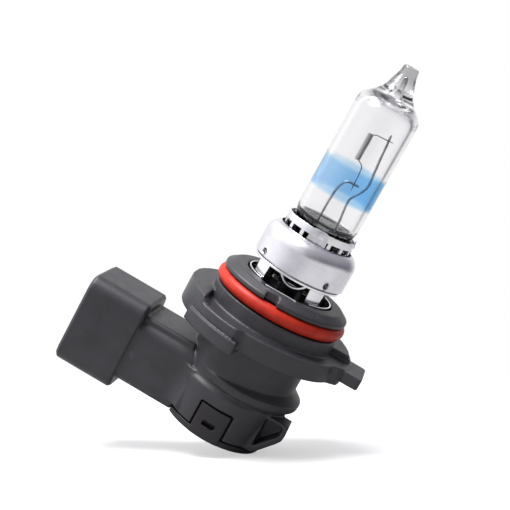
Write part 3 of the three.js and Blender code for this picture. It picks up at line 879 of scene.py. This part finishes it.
def clip_tongues():
    left, right = CLIP["tongue"]
    low, top, y = CLIP["plate"] + 0.1, CLIP["top"] + 0.15, CLIP["tongue_y"]
    outline = softened([(left - 0.4, low), (right + 0.4, low), (right, top - 0.5),
                        (right - 0.4, top), (left + 0.4, top), (left, top - 0.5)], 0.3, True)
    return [prism(outline, y, y + 0.3, "y"), prism(outline, -y - 0.3, -y, "y")]


def make_clip(material):
    """A plate in the carrier and, standing on it, the cup and two tongues that grip the foot."""
    half_x = GLASS["pinch_width"] / 2 + GAP
    half_y = GLASS["pinch_depth"] / 2 + GAP
    plate = disc_solid(CLIP["reach"], CLIP["plate"], CLIP["plate"] + CLIP["thick"], edge=0.1)
    spur = prism(CLIP["spur"], *CLIP["spur_y"], "y")
    hole = block((-half_x, half_x), (-half_y, half_y), (CLIP["plate"] - 1, CLIP["top"] - 0.2))
    clip = carved("clip_and_cup", [plate, *clip_cup(), *clip_tongues(), spur], [hole])
    finished(clip, material, ["capsule_clip"], 35.0)


def make_loop(material):
    points = []
    for i in range(13):
        angle = math.radians(LOOP["from"] + (LOOP["to"] - LOOP["from"]) * i / 12)
        points.append((LOOP["x"] + LOOP["radius"] * math.cos(angle), LOOP["y"],
                       LOOP["z"] + LOOP["radius"] * math.sin(angle)))
    make_piece("wire_loop", [tube(points, LOOP["wire"], 20, 6)], material,
               ["retaining_loop"])


def make_insert(material):
    """The sleeve in the bore, lower at the front, and the strip edge let into the rim."""
    outer, half = INSERT["outer"], INSERT["gap_half"]
    band = ring_solid(outer - INSERT["wall"], outer, INSERT["bottom"], INSERT["top"], 240, 0.1)
    front = block((-half, half), (-outer - 1, 0), (INSERT["gap"], INSERT["top"] + 1))
    insert = carved("insert_sleeve", [band], [front])
    combined(insert, "UNION", block(INLAY["x"], INLAY["y"], INLAY["z"]))
    finished(insert, material, ["insert_ring"], 35.0)


# ---- the moulded base
def hub_solid():
    radius, top = HUB["radius"], HUB["top"]
    low = FLANGE["bottom"] - 0.2
    return lathe([(0, low), (radius, low), (radius, GROOVE["bottom"]),
                  (GROOVE["radius"], GROOVE["bottom"]), (GROOVE["radius"], GROOVE["top"]),
                  (radius, GROOVE["top"]), (radius, HUB["rim"]), (radius - HUB["chamfer"], top),
                  (0, top)])


def flange_solids():
    """The plate, the left lug cut off on a chord with a ramp at its end, and the right lug."""
    lug, waist, low = FLANGE["lug"], FLANGE["waist"], FLANGE["top"] - 0.1
    top, chamfer, half = FLANGE["lug_top"], FLANGE["chamfer"], FLANGE["left_half"]
    outline = []
    for lug_span, waist_span in zip(FLANGE["lug_spans"], FLANGE["waist_spans"]):
        outline += arc(lug, *lug_span) + arc(waist, *waist_span)
    inner = HUB["radius"] - 0.6
    chord = -lug * math.cos(math.radians(half))
    return [prism(outline, FLANGE["bottom"], FLANGE["top"]),
            prism(arc(lug, 180 - half, 180 + half), low, top),
            prism([(chord - 0.1, low), (chord + FLANGE["ramp"], low), (chord - 0.1, top - 0.3)],
                  *FLANGE["ramp_y"], "y"),
            sector_solid(inner, lug, *FLANGE["right_lug"], low, top - chamfer),
            sector_solid(inner, lug - chamfer, *FLANGE["right_lug"], low, top)]


def heel_solids():
    return [sector_solid(HUB["radius"], HEEL["radius"], HEEL["from"], HEEL["to"], HEEL["bottom"],
                         HEEL["top"]),
            sector_solid(DRUM["radius"] - 1, HEEL["radius"] - 0.8, HEEL["from"], HEEL["to"],
                         HEEL["bottom"], FLANGE["bottom"] + 0.2)]


def tab_solid():
    half = TAB["half"]
    outline = [(TAB["from"], -half), (TAB["to"], -half), (TAB["to"], half), (TAB["from"], half)]
    return prism(softened(outline, 0.9, True), TAB["bottom"], TAB["top"])


def drum_side():
    return [(DRUM["foot"], DRUM["bottom"]), (DRUM["body"], DRUM["body_top"] - 1),
            (DRUM["body"], DRUM["body_top"])]


def drum_solids():
    top = FLANGE["bottom"] + 0.1
    rim = DRUM["bottom"] + COVER["thick"] + GAP
    barrel = lathe([(0, rim), (DRUM["foot"], rim), *drum_side()[1:],
                    (DRUM["radius"], DRUM["neck_in"]), (DRUM["radius"], top), (0, top)])
    radius = FLARE["radius"]
    flare = lathe([(0, FLARE["end"]), (radius - FLARE["undercut"], FLARE["end"]),
                   (radius - 0.1, FLARE["low"]), (radius, FLARE["crest"]),
                   (radius - 2.0, FLARE["start"]), (0, FLARE["start"])], centre_x=FLARE["x"])
    return [barrel, flare]


def neck_solids():
    neck = prism(round_rect(NECK["half"], NECK["bottom"], NECK["top"], NECK["round"]),
                 NECK["from"], NECK["to"], "x")
    plate = prism(round_rect(NECK["plate_half"], NECK["top"] - 2.5, NECK["plate_top"], 0.7),
                  NECK["from"], NECK["plate_end"], "x")
    return [neck, plate, *neck_fillets()]


def neck_fillets():
    """A concave web in each corner where the neck's side runs into the drum."""
    reach = 5.0
    body = DRUM["body"] - 0.15
    spread = body + reach
    aside = NECK["half"] + reach
    centre_x = -math.sqrt(spread ** 2 - aside ** 2)
    solids = []
    for side in (-1, 1):
        drum_angle = math.degrees(math.atan2(aside, -centre_x))
        curve = arc(reach, 270, 360 - drum_angle, 4.0, (centre_x, aside))
        outline = curve + [(-5.5, curve[-1][1]), (-5.5, NECK["half"] - 1), (centre_x, NECK["half"] - 1)]
        outline = [(x, side * y) for x, y in outline]
        solids.append(prism(outline, NECK["bottom"] + NECK["round"] - 0.6, NECK["top"] - NECK["round"]))
    return solids


def collar_solids():
    mouth, back, lip = COLLAR["mouth"], COLLAR["back"], COLLAR["lip"]
    solids = []
    for inset in (0.0, lip):
        outline = round_rect(COLLAR["half"] - inset, COLLAR["bottom"] + inset,
                             COLLAR["top"] - inset, COLLAR["round"] - inset)
        solids.append(prism(outline, mouth + lip - inset, back - lip + inset, "x"))
    return solids


def bracket_solid():
    return prism(BRACKET["outline"], BRACKET["front"], BRACKET["back"], "y")


def housing_cutters():
    bottom = DRUM["bottom"]
    wall = COLLAR["wall"]
    socket_end = COLLAR["mouth"] + COLLAR["depth"]
    cutters = [disc_solid(HUB["bore"], INSERT["bottom"] - GAP, HUB["top"] + 1),
               disc_solid(CARRIER["radius"] + GAP, CARRIER["leg_bottom"] - 1, HUB["top"]),
               disc_solid(CHAMBER["radius"], bottom - 1, 0),
               block([end + side for end, side in zip(INLAY["x"], (-0.12, 0.12))],
                     [end + side for end, side in zip(INLAY["y"], (-0.12, 0.12))],
                     (INLAY["z"][0] - 0.2, HUB["top"] + 1)),
               prism(round_rect(COLLAR["half"] - wall, COLLAR["bottom"] + wall, COLLAR["top"] - wall,
                                COLLAR["round"] - 1), COLLAR["mouth"] - 1, socket_end, "x"),
               block((-COVER["half"] - GAP, COVER["half"] + GAP),
                     (-DRUM["body"] - 1, -DRUM["body"] + COVER["tongue"] + GAP),
                     (bottom - 1, COVER["top"] + GAP)),
               block(HUB["notch"], (-HUB["radius"] - 1, -HUB["radius"] + 1.2),
                     (GROOVE["top"] - 0.1, HUB["top"]))]
    cutters.append(sector_solid(HEEL["groove_floor"], HEEL["radius"] + 1, HEEL["from"],
                                HEEL["to"], HEEL["top"], HEEL["top"] + HEEL["groove"]))
    for level in BLADE["levels"]:
        cutters.append(block((socket_end - 1, 0), (-BLADE["thick"] / 2 - GAP, BLADE["thick"] / 2 + GAP),
                             (level - BLADE["width"] / 2 - GAP, level + BLADE["width"] / 2 + GAP)))
    front = BRACKET["front"]
    cutters.append(prism(BRACKET["opening"], front - 1, front + BRACKET["pocket"], "y"))
    return cutters


def make_housing(material):
    solids = [hub_solid(), *flange_solids(), *heel_solids(), tab_solid(), *drum_solids(),
              bracket_solid(), *neck_solids(), *collar_solids()]
    housing = carved("moulded_base", solids, housing_cutters())
    moulded(housing, VOXEL["housing"], 5, 0.4)
    finished(housing, material, ["base_housing"], None)


def make_oring(material):
    section = circle(ORING["radius"], 40)
    ring = lathe([(ORING["centre"] + a, ORING["z"] + b) for a, b in section], 240, closed=True)
    make_piece("seal_ring", [ring], material, ["o_ring"], None)


def make_cover(material):
    bottom, thick = DRUM["bottom"], COVER["thick"]
    front = -DRUM["body"]
    base = disc_solid(COVER["radius"], bottom, bottom + thick)
    plug = disc_solid(CHAMBER["radius"] - GAP, bottom, bottom + thick)
    neck = block((NECK["from"], NECK["to"] + 0.1), (-NECK["half"] - GAP, NECK["half"] + GAP),
                 (bottom - 1, bottom + 2))
    spigot = ring_solid(CHAMBER["radius"] - 1.5, CHAMBER["radius"] - GAP, bottom + thick - 0.1,
                        CHAMBER["floor"] + 0.8)
    panel = block((-COVER["half"], COVER["half"]), (front - 1, front + COVER["tongue"]),
                  (bottom + 0.1, COVER["top"]))
    side = lathe([(0, bottom), *drum_side(), (0, DRUM["body_top"])])
    slot = block(SLOT["x"], (front - 1, front + SLOT["depth"]), SLOT["z"])
    cover = carved("bottom_cap", [panel])
    combined(cover, "INTERSECT", side)
    combined(cover, "UNION", base)
    combined(cover, "DIFFERENCE", neck)
    for solid in (plug, spigot):
        combined(cover, "UNION", solid)
    combined(cover, "DIFFERENCE", slot)
    moulded(cover, VOXEL["cover"], 4, 0.4)
    finished(cover, material, ["bottom_cover"], None)


def make_terminals(material):
    """A blade in the socket, a run along the neck and an upright end under its pin."""
    rise = PIN["bottom"] - GAP
    half = 1.1
    for name, level, x in zip(("upper", "lower"), BLADE["levels"], LEADS.values()):
        low, high = level - BLADE["width"] / 2, level + BLADE["width"] / 2
        tip = BLADE["tip"]
        outline = [(tip + 0.7, low), (x + half, low), (x + half, rise), (x - half, rise),
                   (x - half, high), (tip + 0.7, high), (tip, high - 0.7), (tip, low + 0.7)]
        strip = new_object("blade_" + name, mesh_from("blade_" + name, [
            prism(softened(outline, 0.15, True), -BLADE["thick"] / 2, BLADE["thick"] / 2, "y")]))
        bevel = strip.modifiers.new("edge", "BEVEL")
        bevel.width = 0.12 * MM
        bevel.segments = 3
        bevel.limit_method = "ANGLE"
        applied(strip)
        finished(strip, material, ["terminal_" + name], 35.0)


# ---- put it together
def make_floor(material):
    """White paper under the lowest corner, square to the picture's upright."""
    low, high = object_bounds()
    depth = min(UP.dot(v.co) for piece in bpy.data.objects
                if piece.type == "MESH" and not piece.hide_render for v in piece.data.vertices)
    centre = (low + high) / 2
    centre += UP * (depth - FLOOR_GAP * MM - UP.dot(centre))
    half = FLOOR_FADE[1] * 1.05 * MM
    across, along = RIGHT * half, UP.cross(RIGHT) * half
    corners = [-across - along, across - along, across + along, along - across]
    mesh = bpy.data.meshes.new("floor")
    mesh.from_pydata([tuple(c) for c in corners], [], [(0, 1, 2, 3)])
    mesh.materials.append(material)
    floor = new_object("floor", mesh)
    floor.location = centre
    floor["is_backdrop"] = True


make_camera()
make_world()
bpy.context.scene.view_settings.view_transform = "Standard"

tungsten = wire_material("tungsten", (0.12, 0.12, 0.125), 0.35, 0.55)
molybdenum = wire_material("molybdenum", (0.5, 0.5, 0.52), 0.25, 0.45)
steel = steel_material("satin_steel", (0.82, 0.81, 0.85), 0.2, 0.38, welded=True)
bright = steel_material("bright_steel", (0.93, 0.93, 0.95), 0.1, 0.22)
charcoal = plastic_material("charcoal_plastic", (0.027, 0.0265, 0.031))
dark_cap = plastic_material("cap_plastic", (0.012, 0.0095, 0.0125))
brass = steel_material("tinned_brass", (0.74, 0.6, 0.36), 0.22, 0.38, 1.0, 6.0)

make_glass(glass_material())
make_band(band_material())
make_filament(tungsten)
make_posts(molybdenum)
make_seals(molybdenum)
make_can(steel)
make_carrier(bright)
make_clip(clip_material())
make_loop(bright)
make_insert(bright)
make_housing(charcoal)
make_oring(rubber_material())
make_cover(dark_cap)
make_terminals(brass)
make_floor(floor_material())

make_key_light()
